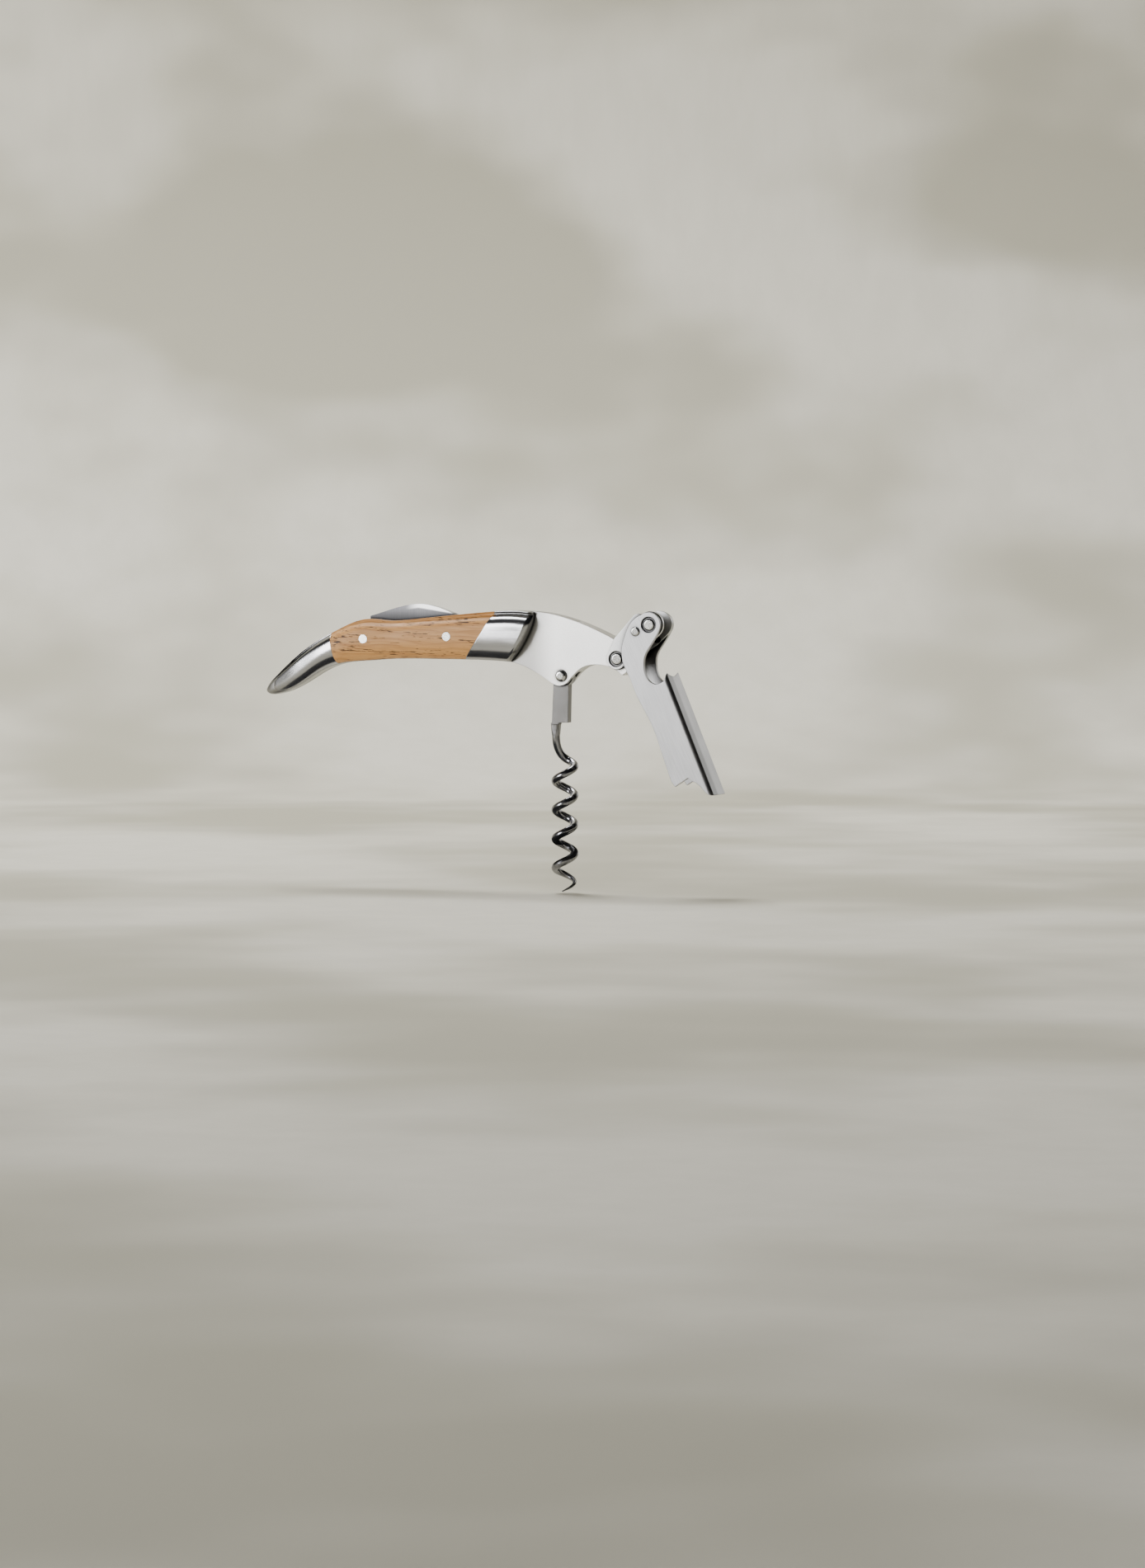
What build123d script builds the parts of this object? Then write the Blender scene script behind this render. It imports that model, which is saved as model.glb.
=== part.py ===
from build123d import *
import os
from math import atan2, cos, degrees, hypot, pi, radians, sin

os.makedirs("parts", exist_ok=True)

# ---------------------------------------------------------------------------------------
# Driving dimensions, millimetres.
#
# The tool stands open: the worm points down and the lever hangs to the right. The origin
# is on the worm's own axis, level with its tip. +X runs from the worm to the lever, +Y is
# the far side and +Z is up. Side profiles are drawn about the worm's pivot, which is
# worm_length above the origin, so most outline points below are (right, up) from it.
# ---------------------------------------------------------------------------------------

worm_length = 70.0          # pivot to tip

# Layers across the tool, from the middle outwards
shank_thickness = 3.0       # the flat worm shank and the blade
shank_gap = 0.05            # each side of them, to the liners
liner_thickness = 1.7
link_gap = 0.15             # liner to link cheek
link_thickness = 1.2
lever_gap = 0.10            # link cheek to lever side
lever_thickness = 1.5
handle_half_width = 7.25

liner_inner = shank_thickness / 2 + shank_gap
liner_outer = liner_inner + liner_thickness
link_inner = liner_outer + link_gap
link_outer = link_inner + link_thickness
lever_inner = link_outer + lever_gap
lever_outer = lever_inner + lever_thickness

# Pivots, from the worm's pivot
link_pivot = (19.6, 5.6)
lever_pivot = (31.3, 16.7)
blade_pivot = (-68.4, 11.4)
scale_pin_place = (-38.7, 12.4)
link_angle = degrees(atan2(lever_pivot[1] - link_pivot[1], lever_pivot[0] - link_pivot[0]))
link_length = hypot(lever_pivot[0] - link_pivot[0], lever_pivot[1] - link_pivot[1])
lever_angle = -67.4         # direction from the lever's pivot to its foot

# How far each joint turns, degrees, which the slots and reliefs are cut for
lever_swing_in = 15.5
lever_swing_out = 55.0
blade_swing = 135.0

# Pins and rivets
rivet_radius = 1.5
press_gap = 0.03            # pin to hole where the pin is fixed
turn_gap = 0.06             # pin to hole where something turns on it
worm_head_radius = 1.95
worm_head_height = 1.2
sunk_head_radius = 1.8
counterbore_radius = 2.6
counterbore_depth = 0.6
sunk_head_height = 0.5
scale_pin_radius = 1.45
pin_stand = 0.05            # how far the handle pins stand proud of the wood
stop_pin_radius = 0.8
stop_head_radius = 1.45
stop_head_height = 0.55
stop_slot_gap = 0.3
stop_pin_place = (0.3, 5.0)  # along the lever and towards the worm, from the lever's pivot
dowel_radius = 1.0
dowel_half_length = 5.2
tail_dowel_half_length = 4.0
bolster_dowels_at = ((-21.0, 15.5), (-24.5, 9.0))
tail_dowel_at = (-90.0, 3.2)

moving_gap = 0.3            # between shapes that pass each other


def side(y=0.0):
    """Drawing plane facing the near side at depth y, its origin on the worm's pivot."""
    return Plane(origin=(0, y, worm_length), x_dir=(1, 0, 0), z_dir=(0, -1, 0))


def along_link(y=0.0):
    """Plane at depth y with its origin on the link's pivot and X towards the lever's pivot."""
    turn = radians(link_angle)
    place = (link_pivot[0], y, worm_length + link_pivot[1])
    return Plane(origin=place, x_dir=(cos(turn), 0, sin(turn)), z_dir=(0, -1, 0))


def along_lever(y=0.0):
    """Plane at depth y with its origin on the lever's pivot, X to the foot, Y to the worm."""
    turn = radians(lever_angle)
    place = (lever_pivot[0], y, worm_length + lever_pivot[1])
    return Plane(origin=place, x_dir=(cos(turn), 0, sin(turn)), z_dir=(0, 1, 0))


def disc(plane, place, radius, height, mode=Mode.ADD):
    """Round boss or hole of one radius on a plane, through height both ways."""
    with BuildSketch(plane) as face:
        with Locations(place):
            Circle(radius)
    extrude(face.sketch, amount=height, both=True, mode=mode)


def pin_hole(place, radius, plane=side()):
    """Round hole right through the part, across the tool."""
    disc(plane, place, radius, handle_half_width + 1, Mode.SUBTRACT)


def domed_head(plane, place, radius, height):
    """Low rivet head that rises from a plane towards its normal, with a rounded rim."""
    with BuildSketch(plane) as face:
        with Locations(place):
            Circle(radius)
    head = extrude(face.sketch, amount=height, mode=Mode.PRIVATE)
    rim = head.edges().filter_by(GeomType.CIRCLE).sort_by(Axis.Y)
    top = rim[0] if plane.z_dir.Y < 0 else rim[-1]
    add(head.fillet(min(0.85 * height, 0.6 * radius), [top]))


# ---------------------------------------------------------------------------------------
# Handle form: one lofted body that every handle piece is cut from
# ---------------------------------------------------------------------------------------

# Stations from the tail to the neck: along, underside, top, half width
handle_stations = (
    (-106.1, -6.4, -5.4, 1.2),
    (-105.0, -7.1, -4.0, 2.3),
    (-101.5, -7.1, -0.8, 3.5),
    (-96.5, -5.5, 3.4, 4.7),
    (-90.5, -2.3, 8.0, 5.7),
    (-84.8, 1.0, 11.4, 6.5),
    (-78.5, 3.2, 14.5, 7.0),
    (-68.5, 4.2, 17.9, handle_half_width),
    (-60.5, 4.8, 17.5, handle_half_width),
    (-52.0, 5.0, 17.9, handle_half_width),
    (-36.4, 4.9, 19.5, handle_half_width),
    (-23.0, 4.6, 20.7, handle_half_width),
    (-14.0, 3.9, 20.9, handle_half_width),
    (-7.0, 3.6, 20.4, handle_half_width),
)
back_flat = 2.0             # half width of the flat back and belly
side_fullness = 2.35        # superellipse power of the handle's sides: 2 is an ellipse
side_points = 7


def handle_section(low, high, half_width):
    """Cross-section with a flat back and belly and full rounded sides."""
    flat = min(back_flat, 0.4 * half_width)
    middle = (low + high) / 2
    half_height = (high - low) / 2
    rounded = []
    for step in range(side_points + 1):
        turn = pi * step / side_points
        out = flat + (half_width - flat) * sin(turn) ** (2 / side_fullness)
        rise = half_height * abs(cos(turn)) ** (2 / side_fullness)
        rounded.append((out, middle + rise if turn < pi / 2 else middle - rise))
    other = [(-out, up) for out, up in reversed(rounded)]
    with BuildLine() as outline:
        Line((-flat, high), (flat, high))
        Spline(*rounded, tangents=((1, 0), (-1, 0)))
        Line((flat, low), (-flat, low))
        Spline(*other, tangents=((-1, 0), (1, 0)))
    make_face(outline.edges())


with BuildPart() as handle_form:
    for along, low, high, half_width in handle_stations:
        station = Plane(origin=(along, 0, worm_length), x_dir=(0, 1, 0), z_dir=(1, 0, 0))
        with BuildSketch(station):
            handle_section(low, high, half_width)
    loft()


def tail_joint(z):
    """Straight slanted joint between the tail bolster and the wood, at height z."""
    return -80.0 - 0.22 * (z - 8.1)


bolster_joint = ((-20.6, 24.0), (-24.6, 17.0), (-29.6, 9.4), (-36.6, 2.0))
bolster_front = ((-10.9, 24.0), (-9.4, 17.9), (-10.9, 13.8), (-13.8, 8.6), (-20.2, 2.0))
above, below = 24.0, 2.0


# ---------------------------------------------------------------------------------------
# Neck and liners
# ---------------------------------------------------------------------------------------

tongue_radius = 4.6         # liner end round the link's pivot
neck_top = ((-26.0, 20.0), (-10.3, 20.7), (-4.7, 20.1), (2.8, 18.3), (10.3, 15.6), (18.7, 11.7))
neck_belly = ((-26.0, 6.0), (-17.2, 4.3), (-12.8, 2.9), (-7.8, 0.4), (-3.4, -2.4))
worm_boss_radius = 3.1
neck_arch = ((2.2, -2.1), (4.3, 0.4), (7.4, 2.8), (12.1, 3.7), (18.0, 2.5), (21.1, 0.35))
heel = ((22.6, 1.4), (22.9, 3.4))


def neck_outline():
    """Side profile of the neck, from under the front bolster to the tongue and its heel."""
    near = radians(-5)
    far = radians(100)
    mid = (near + far) / 2
    arc = [
        (link_pivot[0] + tongue_radius * cos(turn), link_pivot[1] + tongue_radius * sin(turn))
        for turn in (near, mid, far)
    ]
    with BuildLine() as outline:
        Line(neck_top[0], neck_top[1])
        Spline(*neck_top[1:])
        Polyline(neck_top[-1], arc[2])
        ThreePointArc(arc[2], arc[1], arc[0])
        Polyline(arc[0], heel[1], heel[0], neck_arch[-1])
        Spline(*reversed(neck_arch))
        Spline(neck_arch[0], (0.4, -worm_boss_radius), neck_belly[-1])
        Spline(*reversed(neck_belly))
        Line(neck_belly[0], neck_top[0])
    make_face(outline.edges())


with BuildPart() as liner_near:
    add(handle_form.part)
    with BuildSketch(side(-liner_inner)):
        with Locations((-58, 8)):
            Rectangle(100, 60)
    extrude(amount=liner_thickness, mode=Mode.INTERSECT)
    with BuildSketch(side(-liner_inner)):
        neck_outline()
    extrude(amount=liner_thickness)
    pin_hole((0, 0), rivet_radius + press_gap)
    pin_hole(link_pivot, rivet_radius + press_gap)
    pin_hole(scale_pin_place, scale_pin_radius + press_gap)
    pin_hole(blade_pivot, scale_pin_radius + press_gap)
    for place in bolster_dowels_at + (tail_dowel_at,):
        pin_hole(place, dowel_radius + press_gap)

with BuildPart() as liner_far:
    mirror(liner_near.part, about=Plane.XZ)


# ---------------------------------------------------------------------------------------
# Middle layer: spacers and springs between the liners
# ---------------------------------------------------------------------------------------

spring_split = -35.0        # where the two springs meet
tang_radius = 3.4           # round end of the worm shank
blade_tang_radius = 4.2
blade_corner = (-68.2, 18.9)
blade_back = (blade_corner, (-57.3, 22.0), (-50.0, 22.9), (-43.1, 21.5), (-36.7, 18.9))
corner_reach = hypot(blade_corner[0] - blade_pivot[0], blade_corner[1] - blade_pivot[1])

def opened(point):
    """Where a point of the closed blade's back comes to when the blade is fully open."""
    across = point[0] - blade_pivot[0]
    up = point[1] - blade_pivot[1]
    reach = hypot(across, up) + moving_gap
    turn = atan2(up, across) + radians(blade_swing + 1)
    return (blade_pivot[0] + reach * cos(turn), blade_pivot[1] + reach * sin(turn))


with BuildPart() as neck_spacer:
    with BuildSketch(side()):
        neck_outline()
        with Locations((30.0 + tang_radius + 1.8, 5)):
            Rectangle(60, 60, mode=Mode.INTERSECT)
    extrude(amount=liner_inner, both=True)
    pin_hole(link_pivot, rivet_radius + press_gap)

with BuildPart() as worm_spring:
    add(handle_form.part)
    with BuildSketch(side()):
        neck_outline()
    extrude(amount=liner_inner, both=True)
    nose = tang_radius + moving_gap
    with BuildSketch(side()):
        Polygon(
            (spring_split, -1), (-20.5, -1), (-19.5, 6.5), (-14, 11), (-4.5, 11.5), (-2.4, nose),
            (2.4, nose), (4.9, 9), (4.9, 26), (spring_split, 26), align=None,
        )
    extrude(amount=liner_inner, both=True, mode=Mode.INTERSECT)
    for place in bolster_dowels_at:
        pin_hole(place, dowel_radius + press_gap)

with BuildPart() as blade_spring:
    add(handle_form.part)
    seat = blade_pivot[1] - blade_tang_radius - moving_gap
    with BuildSketch(side()):
        Polygon(
            (-71.3, -1), (-71.3, seat), (-66, seat), (-62, seat + 1.8), (-50, 12.2), (-42, 15.0),
            (spring_split, 16.5), (spring_split, -1), align=None,
        )
    extrude(amount=liner_inner, both=True, mode=Mode.INTERSECT)
    pin_hole(scale_pin_place, scale_pin_radius + press_gap)

with BuildPart() as tail_spacer:
    add(handle_form.part)
    with BuildSketch(side()):
        Polygon((-110, -12), (-74.4, -12), (-74.4, 26), (-110, 26), align=None)
        with Locations(blade_pivot):
            Circle(corner_reach + moving_gap, mode=Mode.SUBTRACT)
        with BuildLine():
            Spline(*[opened(point) for point in blade_back])
            Polyline(opened(blade_back[-1]), (-68, 40), opened(blade_corner))
        make_face(mode=Mode.SUBTRACT)
    extrude(amount=liner_inner, both=True, mode=Mode.INTERSECT)
    pin_hole(tail_dowel_at, dowel_radius + press_gap)


# ---------------------------------------------------------------------------------------
# Bolsters and scales outside the liners, each near one mirrored for the far side
# ---------------------------------------------------------------------------------------

with BuildPart() as tail_bolster_near:
    add(handle_form.part)
    with BuildSketch(side(-liner_outer)):
        Polygon((-110, 26), (tail_joint(26), 26), (tail_joint(-12), -12), (-110, -12), align=None)
    extrude(amount=handle_half_width, mode=Mode.INTERSECT)
    disc(side(), tail_dowel_at, dowel_radius + press_gap, dowel_half_length, Mode.SUBTRACT)

with BuildPart() as scale_near:
    add(handle_form.part)
    with BuildSketch(side(-liner_outer)):
        with BuildLine():
            Line((tail_joint(above), above), bolster_joint[0])
            Spline(*bolster_joint)
            Line(bolster_joint[-1], (tail_joint(below), below))
            Line((tail_joint(below), below), (tail_joint(above), above))
        make_face()
    extrude(amount=handle_half_width, mode=Mode.INTERSECT)
    pin_hole(scale_pin_place, scale_pin_radius + press_gap)
    pin_hole(blade_pivot, scale_pin_radius + press_gap)

with BuildPart() as front_bolster_near:
    add(handle_form.part)
    with BuildSketch(side(-liner_outer)):
        with BuildLine():
            Line(bolster_joint[0], bolster_front[0])
            Spline(*bolster_front)
            Line(bolster_front[-1], bolster_joint[-1])
            Spline(*reversed(bolster_joint))
        make_face()
    extrude(amount=handle_half_width, mode=Mode.INTERSECT)
    for place in bolster_dowels_at:
        disc(side(), place, dowel_radius + press_gap, dowel_half_length, Mode.SUBTRACT)

with BuildPart() as tail_bolster_far:
    mirror(tail_bolster_near.part, about=Plane.XZ)

with BuildPart() as scale_far:
    mirror(scale_near.part, about=Plane.XZ)

with BuildPart() as front_bolster_far:
    mirror(front_bolster_near.part, about=Plane.XZ)


# ---------------------------------------------------------------------------------------
# Handle pins and rivets
# ---------------------------------------------------------------------------------------

with BuildPart() as scale_pin:
    disc(side(), scale_pin_place, scale_pin_radius, handle_half_width + pin_stand)

with BuildPart() as blade_pivot_pin:
    disc(side(), blade_pivot, scale_pin_radius, handle_half_width + pin_stand)

with BuildPart() as bolster_dowels:
    for place in bolster_dowels_at:
        disc(side(), place, dowel_radius, dowel_half_length)

with BuildPart() as tail_dowel:
    disc(side(), tail_dowel_at, dowel_radius, tail_dowel_half_length)

with BuildPart() as worm_rivet:
    disc(side(), (0, 0), rivet_radius, liner_outer)
    domed_head(side(-liner_outer), (0, 0), worm_head_radius, worm_head_height)
    mirror(about=Plane.XZ)

with BuildPart() as link_rivet:
    floor = link_outer - counterbore_depth
    disc(side(), link_pivot, rivet_radius, floor)
    domed_head(side(-floor), link_pivot, sunk_head_radius, sunk_head_height)
    mirror(about=Plane.XZ)


# ---------------------------------------------------------------------------------------
# Worm: flat shank, then a right-handed helix that tapers to the tip
# ---------------------------------------------------------------------------------------

wire_radius = 1.3
helix_radius = 3.1          # to the wire's centre
helix_pitch = 9.4
helix_top = -27.6           # below the pivot, where the wire has come round to the back
taper_height = 6.5
tip_radius = 0.2
taper_steps = 8
shank_end = -15.2
wire_start = -19.5
helix_rise = helix_pitch / (2 * pi)


def helix_plane(drop):
    """Plane across the wire where the helix has dropped this far below its top."""
    turn = pi / 2 - drop / helix_rise
    out = Vector(cos(turn), sin(turn), 0)
    run = Vector(sin(turn), -cos(turn), -helix_rise / helix_radius)
    centre = out * helix_radius + Vector(0, 0, worm_length + helix_top - drop)
    return Plane(origin=centre, x_dir=out, z_dir=run)


def wire_ring(plane, radius):
    """Round section made of two half circles, so that a loft can join it to the next."""
    right, up, left, down = [
        plane.from_local_coords(Vector(radius * x, radius * y, 0))
        for x, y in ((1, 0), (0, 1), (-1, 0), (0, -1))
    ]
    halves = [Edge.make_three_point_arc(right, up, left), Edge.make_three_point_arc(left, down, right)]
    return Wire(halves)


helix_drop = worm_length + helix_top - tip_radius
body_drop = helix_drop - taper_height

with BuildPart() as worm:
    with BuildSketch(side()):
        Circle(tang_radius)
        Polygon(
            (-3.3, 0), (1.9, 0), (1.6, shank_end), (-1.7, shank_end), (-1.7, wire_start + 1.5),
            (-4.5, wire_start + 1.5), (-4.0, shank_end), align=None,
        )
    extrude(amount=shank_thickness / 2, both=True)
    disc(side(), (0, 0), rivet_radius + turn_gap, shank_thickness, Mode.SUBTRACT)
    top = Vector(-helix_radius, 0, worm_length + shank_end - 1)
    bend = Vector(-helix_radius, 0, worm_length + wire_start)
    start = helix_plane(0)
    with BuildLine() as lead:
        Line(top, bend)
        Spline(bend, start.origin, tangents=((0, 0, -1), start.z_dir), tangent_scalars=(1.4, 1.0))
    with BuildSketch(Plane(origin=top, z_dir=(0, 0, -1))):
        Circle(wire_radius)
    sweep(path=lead.wires()[0])
    axis = Plane(origin=(0, 0, worm_length + helix_top), x_dir=(0, 1, 0), z_dir=(0, 0, -1))
    coil = axis.location * Edge.make_helix(helix_pitch, body_drop, helix_radius)
    with BuildSketch(start):
        Circle(wire_radius)
    sweep(path=coil, is_frenet=True)
    rings = []
    for step in range(taper_steps + 1):
        share = step / taper_steps
        plane = helix_plane(body_drop + share * taper_height)
        rings.append(wire_ring(plane, wire_radius + share * (tip_radius - wire_radius)))
    add(Solid.make_loft(rings))


# ---------------------------------------------------------------------------------------
# Link: a U-shaped bracket that joins the neck to the lever
# ---------------------------------------------------------------------------------------

link_end_radius = 3.3
link_boss_radius = 4.3
web_start = 4.3             # along the link
web_end = 14.2
web_low = 5.3               # outer face of the web where it starts
web_high = 6.1              # and where it ends
web_thickness = 1.25
stop_radius = hypot(*stop_pin_place)


def link_outline():
    """Side profile of the link, from the neck's end at the left to the lever's boss."""
    boss_top = (link_length, link_boss_radius)
    boss_end = (link_length + link_boss_radius, 0)
    boss_low = (link_length, -link_boss_radius)
    with BuildLine() as outline:
        Polyline((-0.6, 3.25), (web_start - 1.2, web_low - 0.6), (web_start, web_low), (web_end, web_high))
        ThreePointArc((web_end, web_high), (web_end + 1.0, web_high - 0.4), boss_top)
        ThreePointArc(boss_top, boss_end, boss_low)
        Polyline(boss_low, (11.0, -4.3), (8.4, -3.8), (0.2, -3.29))
        ThreePointArc((0.2, -3.29), (-link_end_radius, 0), (-0.6, 3.25))
    make_face(outline.edges())


def stop_slot(first, last):
    """Curved slot in the link for the stop pin, round the lever's pivot between two angles."""
    half = stop_pin_radius + stop_slot_gap

    def at(angle, radius, along=0.0):
        turn = radians(angle)
        return (
            link_length + radius * cos(turn) - along * sin(turn),
            radius * sin(turn) + along * cos(turn),
        )

    middle = (first + last) / 2
    outer = stop_radius + half
    inner = stop_radius - half
    with BuildLine() as outline:
        ThreePointArc(at(first, outer), at(middle, outer), at(last, outer))
        ThreePointArc(at(last, outer), at(last, stop_radius, half), at(last, inner))
        ThreePointArc(at(last, inner), at(middle, inner), at(first, inner))
        ThreePointArc(at(first, inner), at(first, stop_radius, -half), at(first, outer))
    make_face(outline.edges())


with BuildPart() as link:
    with BuildSketch(along_link()):
        link_outline()
    extrude(amount=link_outer, both=True)
    with BuildSketch(along_link()):
        with BuildLine():
            Polyline(
                (-10, 12), (web_start, 12), (web_start, web_low - web_thickness),
                (web_end + 0.4, web_high - web_thickness), (link_length + 8, web_high - web_thickness),
                (link_length + 8, -12), (-10, -12), (-10, 12),
            )
        make_face()
    extrude(amount=link_inner, both=True, mode=Mode.SUBTRACT)
    disc(along_link(), (0, 0), rivet_radius + turn_gap, link_outer + 1, Mode.SUBTRACT)
    disc(along_link(), (link_length, 0), rivet_radius + turn_gap, link_outer + 1, Mode.SUBTRACT)
    floor = link_outer - counterbore_depth
    disc(along_link(-link_outer), (0, 0), counterbore_radius, counterbore_depth, Mode.SUBTRACT)
    disc(along_link(link_outer), (0, 0), counterbore_radius, counterbore_depth, Mode.SUBTRACT)
    slot_edge = degrees(atan2(stop_pin_place[1], stop_pin_place[0]))
    swing = lever_angle - link_angle - slot_edge
    spare = degrees(stop_slot_gap / stop_radius)
    with BuildSketch(along_link()):
        stop_slot(swing - lever_swing_in - spare / 2, swing + lever_swing_out + spare / 2)
    extrude(amount=link_outer + 1, both=True, mode=Mode.SUBTRACT)


# ---------------------------------------------------------------------------------------
# Lever: a channel bent from one plate, with a cap lifter, a tooth and a foot
# ---------------------------------------------------------------------------------------

boss_radius = 4.0
boss_from, boss_to = 163.0, 309.0
back_face = 0.5             # towards the worm from the pivot's line: outer face of the back
horn_start = 16.5           # along the lever: where the channel's back begins
lifter_depth = 1.2          # how deep the cap-lifter hollow is
lifter_width = 2 * lever_inner
back_thickness = 1.3
foot_end = 58.5
bend_radius = 1.3
tooth_tip = (51.2, 11.5)
rim_seat = (50.2, 6.3)      # inner corner of the notch that sits on the bottle's rim
lever_mouth = (
    (-2.9, 5.2), (0.3, 8.9), (4.4, 11.8), (9.4, 12.8), (14.0, 12.4), (17.0, 12.5), (29.2, 11.3),
    (39.4, 11.5), (48.8, 12.0),
)
lever_window = (
    (5.1, 0.1), (6.9, 2.8), (8.8, 5.1), (11.1, 6.4), (13.7, 7.1), (16.7, 6.7), (18.4, 5.2),
    (18.8, 3.2), (18.4, 1.8),
)
foot_slope = ((52.0, 5.1), (54.6, 3.3), (57.4, 2.0))


def lever_outline():
    """Side profile of the lever, from its boss down the open side to the foot and back up."""
    start, middle, end = [
        (boss_radius * cos(turn), boss_radius * sin(turn))
        for turn in (radians(boss_from), radians((boss_from + boss_to) / 2), radians(boss_to))
    ]
    with BuildLine() as outline:
        Spline(start, *lever_mouth)
        Polyline(lever_mouth[-1], tooth_tip, rim_seat, foot_slope[0])
        Spline(*foot_slope, (foot_end, back_face))
        Polyline((foot_end, back_face), (horn_start, back_face), lever_window[-1])
        Spline(*reversed(lever_window), end)
        ThreePointArc(end, middle, start)
    make_face(outline.edges())


with BuildPart() as lever:
    with BuildSketch(along_lever()):
        lever_outline()
    extrude(amount=lever_outer, both=True)
    long_edges = lever.edges().filter_by(
        lambda edge: edge.length > 40 and abs(abs(edge.center().Y) - lever_outer) < 0.01
        and edge.geom_type == GeomType.LINE
    )
    fillet(long_edges, bend_radius)
    with BuildSketch(along_lever()):
        with BuildLine():
            Polyline(
                (-12, -12), (horn_start, -12), (horn_start, back_face + back_thickness),
                (foot_end + 5, back_face + back_thickness), (foot_end + 5, 20), (-12, 20), (-12, -12),
            )
        make_face()
    extrude(amount=lever_inner, both=True, mode=Mode.SUBTRACT)
    lifter_radius = (lifter_width ** 2 / 4 + lifter_depth ** 2) / (2 * lifter_depth)
    back = along_lever()
    hollow = Plane(origin=back.origin, x_dir=back.x_dir, z_dir=back.y_dir)
    with BuildSketch(hollow):
        with Locations((horn_start + lifter_depth - lifter_radius, 0)):
            Circle(lifter_radius)
        with Locations((horn_start, 0)):
            Rectangle(2 * lifter_depth + 1, lifter_width, mode=Mode.INTERSECT)
    extrude(amount=2 * (back_face + back_thickness), both=True, mode=Mode.SUBTRACT)
    disc(along_lever(), (0, 0), rivet_radius + press_gap, lever_outer + 1, Mode.SUBTRACT)
    disc(along_lever(-lever_outer), (0, 0), counterbore_radius, counterbore_depth, Mode.SUBTRACT)
    disc(along_lever(lever_outer), (0, 0), counterbore_radius, counterbore_depth, Mode.SUBTRACT)
    disc(along_lever(), stop_pin_place, stop_pin_radius + press_gap, lever_outer + 1, Mode.SUBTRACT)

with BuildPart() as lever_rivet:
    floor = lever_outer - counterbore_depth
    disc(side(), lever_pivot, rivet_radius, floor)
    domed_head(side(-floor), lever_pivot, sunk_head_radius, sunk_head_height)
    mirror(about=Plane.XZ)

with BuildPart() as stop_pin:
    place = side().to_local_coords(along_lever().from_local_coords(stop_pin_place))
    disc(side(), (place.X, place.Y), stop_pin_radius, lever_outer)
    domed_head(side(-lever_outer), (place.X, place.Y), stop_head_radius, stop_head_height)
    mirror(about=Plane.XZ)


# ---------------------------------------------------------------------------------------
# Foil blade: closed in the top of the handle, its back standing proud
# ---------------------------------------------------------------------------------------

blade_edge = ((-36.7, 18.9), (-42.0, 15.8), (-50.0, 13.0), (-58.0, 11.1), (-64.6, 9.7))
serration_radius = 0.9
serrations = 15
serration_depth = 0.45

with BuildPart() as blade:
    with BuildSketch(side()) as profile:
        with BuildLine():
            Spline(*blade_back)
            edge_line = Spline(*blade_edge)
            Polyline(blade_edge[-1], (blade_pivot[0], blade_pivot[1]), (blade_corner[0], blade_pivot[1]))
            Line((blade_corner[0], blade_pivot[1]), blade_corner)
        make_face()
        with Locations(blade_pivot):
            Circle(blade_tang_radius)
        for step in range(serrations):
            at = edge_line @ (0.08 + 0.72 * step / (serrations - 1))
            away = edge_line % (0.08 + 0.72 * step / (serrations - 1))
            low = Vector(away.Y, -away.X) * -(serration_radius - serration_depth)
            with Locations((at.X + low.X, at.Y + low.Y)):
                Circle(serration_radius, mode=Mode.SUBTRACT)
    extrude(amount=shank_thickness / 2, both=True)
    disc(side(), blade_pivot, scale_pin_radius + turn_gap, shank_thickness, Mode.SUBTRACT)


# ---------------------------------------------------------------------------------------
# Files
# ---------------------------------------------------------------------------------------

pieces = {
    "liner_near": liner_near,
    "liner_far": liner_far,
    "neck_spacer": neck_spacer,
    "worm_spring": worm_spring,
    "blade_spring": blade_spring,
    "tail_spacer": tail_spacer,
    "front_bolster_near": front_bolster_near,
    "front_bolster_far": front_bolster_far,
    "scale_near": scale_near,
    "scale_far": scale_far,
    "tail_bolster_near": tail_bolster_near,
    "tail_bolster_far": tail_bolster_far,
    "scale_pin": scale_pin,
    "blade_pivot_pin": blade_pivot_pin,
    "bolster_dowels": bolster_dowels,
    "tail_dowel": tail_dowel,
    "worm_rivet": worm_rivet,
    "link_rivet": link_rivet,
    "worm": worm,
    "link": link,
    "lever": lever,
    "lever_rivet": lever_rivet,
    "stop_pin": stop_pin,
    "blade": blade,
}
for label, piece in pieces.items():
    piece.part.label = label
    export_step(piece.part, f"parts/{label}.step")
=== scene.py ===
import logging
import math
from dataclasses import dataclass
from enum import Enum

import bmesh
import bpy
import numpy as np
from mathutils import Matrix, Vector


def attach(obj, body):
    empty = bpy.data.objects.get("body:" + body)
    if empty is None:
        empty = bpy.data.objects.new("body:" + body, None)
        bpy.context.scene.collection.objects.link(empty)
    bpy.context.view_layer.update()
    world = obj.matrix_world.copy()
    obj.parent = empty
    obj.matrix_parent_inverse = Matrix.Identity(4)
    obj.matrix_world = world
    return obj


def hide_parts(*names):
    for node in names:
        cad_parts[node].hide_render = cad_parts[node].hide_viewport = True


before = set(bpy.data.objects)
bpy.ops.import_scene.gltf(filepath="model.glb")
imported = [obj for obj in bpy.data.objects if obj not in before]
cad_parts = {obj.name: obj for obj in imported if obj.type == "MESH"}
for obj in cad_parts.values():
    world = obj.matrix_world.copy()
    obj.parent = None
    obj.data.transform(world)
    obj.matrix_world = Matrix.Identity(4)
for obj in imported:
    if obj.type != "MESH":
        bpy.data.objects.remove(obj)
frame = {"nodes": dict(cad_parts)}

log = logging.getLogger("lever_corkscrew")

MM = 0.001
LEVER_ANGLE = math.radians(-67.4)

Socket = bpy.types.NodeSocket
Triple = tuple[float, float, float]

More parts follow.
